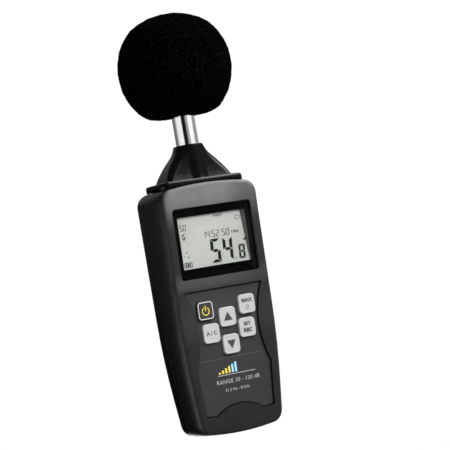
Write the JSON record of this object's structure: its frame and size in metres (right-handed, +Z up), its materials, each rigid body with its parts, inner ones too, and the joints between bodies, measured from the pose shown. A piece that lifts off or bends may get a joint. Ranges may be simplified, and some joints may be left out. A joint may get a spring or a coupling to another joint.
{
  "type": "sound level meter",
  "caption": "Hand-held sound level meter: a slim case with a display and keys, a conical nose carrying a microphone tube, and a removable round foam windscreen.",
  "frame": {"origin": "on the microphone's axis, level with the lowest point of the case, which is the middle of the object's bounding box at its bottom", "axes": "+Z up along the microphone's axis towards the windscreen, -Y out of the display side, +Y out of the back, +X to the right of someone facing the display"},
  "size_m": [0.0656, 0.0632, 0.236],
  "materials": {
    "case_front": "satin",
    "case_rear": "satin",
    "nose": "semi-gloss",
    "foam": "open-cell foam",
    "tube_metal": "polished",
    "capsule_metal": "satin",
    "grid_metal": "satin",
    "brass": "turned",
    "seal": "matte",
    "circuit_board": "solder mask",
    "cable": "satin",
    "cream_plastic": "satin",
    "lens": "clear",
    "mask_ink": "printed black",
    "display": "reflective liquid crystal",
    "diffuser": "translucent white",
    "contact_rubber": "matte",
    "carbon": "matte",
    "overlay": "fine texture",
    "key_grey": "satin",
    "key_black": "satin",
    "gold_pads": "plated",
    "chip": "moulded",
    "capacitor": "satin",
    "steel": "plated",
    "socket_black": "moulded",
    "trimmer_blue": "moulded",
    "cell_wrap": "shrink sleeve",
    "wire_red": "satin"
  },
  "bodies": {
    "case": {"front_shell": "case_front", "rear_shell": "case_rear", "nose_cone": "nose", "mic_tube": "tube_metal", "mic_capsule": "capsule_metal", "mic_grid": "grid_metal", "tube_retainer": "brass", "tube_o_ring": "seal", "preamp_board": "circuit_board", "mic_cable": "cable", "mic_connector": "cream_plastic", "display_lens": "lens", "display_mask": "mask_ink", "lcd_glass": "display", "lcd_backlight": "diffuser", "lcd_holder": "cream_plastic", "zebra_strips": "contact_rubber", "keypad_overlay": "overlay", "keypad_mat": "contact_rubber", "contact_pads": "gold_pads", "main_board": "circuit_board", "board_chips": "chip", "board_capacitors": "capacitor", "board_screws": "steel", "case_screws": "steel", "output_jack": "socket_black", "dc_jack": "socket_black", "dc_pin": "steel", "usb_socket": "steel", "usb_tongue": "socket_black", "trimmer_housing": "trimmer_blue", "tripod_insert": "brass", "batteries": "cell_wrap", "battery_springs": "steel", "battery_plates": "steel", "battery_wires": "wire_red"},
    "windscreen": {"windscreen": "foam"},
    "battery_door": {"battery_door": "case_rear"},
    "trimmer_rotor": {"trimmer_rotor": "cream_plastic"},
    "key_power": {"key_power": "key_black", "pill_power": "carbon"},
    "key_weighting": {"key_weighting": "key_grey", "pill_weighting": "carbon"},
    "key_up": {"key_up": "key_grey", "pill_up": "carbon"},
    "key_down": {"key_down": "key_grey", "pill_down": "carbon"},
    "key_max": {"key_max": "key_grey", "pill_max": "carbon"},
    "key_record": {"key_record": "key_grey", "pill_record": "carbon"}
  },
  "joints": [
    {"name": "windscreen_pull", "type": "slide", "parent": "case", "child": "windscreen", "axis": [0, 0, 1], "range_m": [0, 0.04]},
    {"name": "battery_door_slide", "type": "slide", "parent": "case", "child": "battery_door", "axis": [0, 0, -1], "range_m": [0, 0.066]},
    {"name": "calibration_turn", "type": "hinge", "parent": "case", "child": "trimmer_rotor", "pos_m": [0.024, -0.001, 0.0816], "axis": [1, 0, 0], "range_deg": [-135, 135]},
    {"name": "key_power_press", "type": "slide", "parent": "case", "child": "key_power", "axis": [0, 0.999, 0.045], "range_m": [0, 0.0008], "stiffness_N_per_m": 600, "springref_m": -0.0004},
    {"name": "key_weighting_press", "type": "slide", "parent": "case", "child": "key_weighting", "axis": [0, 0.999, 0.045], "range_m": [0, 0.0008], "stiffness_N_per_m": 600, "springref_m": -0.0004},
    {"name": "key_up_press", "type": "slide", "parent": "case", "child": "key_up", "axis": [0, 0.999, 0.045], "range_m": [0, 0.0008], "stiffness_N_per_m": 600, "springref_m": -0.0004},
    {"name": "key_down_press", "type": "slide", "parent": "case", "child": "key_down", "axis": [0, 0.999, 0.045], "range_m": [0, 0.0008], "stiffness_N_per_m": 600, "springref_m": -0.0004},
    {"name": "key_max_press", "type": "slide", "parent": "case", "child": "key_max", "axis": [0, 0.999, 0.045], "range_m": [0, 0.0008], "stiffness_N_per_m": 600, "springref_m": -0.0004},
    {"name": "key_record_press", "type": "slide", "parent": "case", "child": "key_record", "axis": [0, 0.999, 0.045], "range_m": [0, 0.0008], "stiffness_N_per_m": 600, "springref_m": -0.0004}
  ]
}
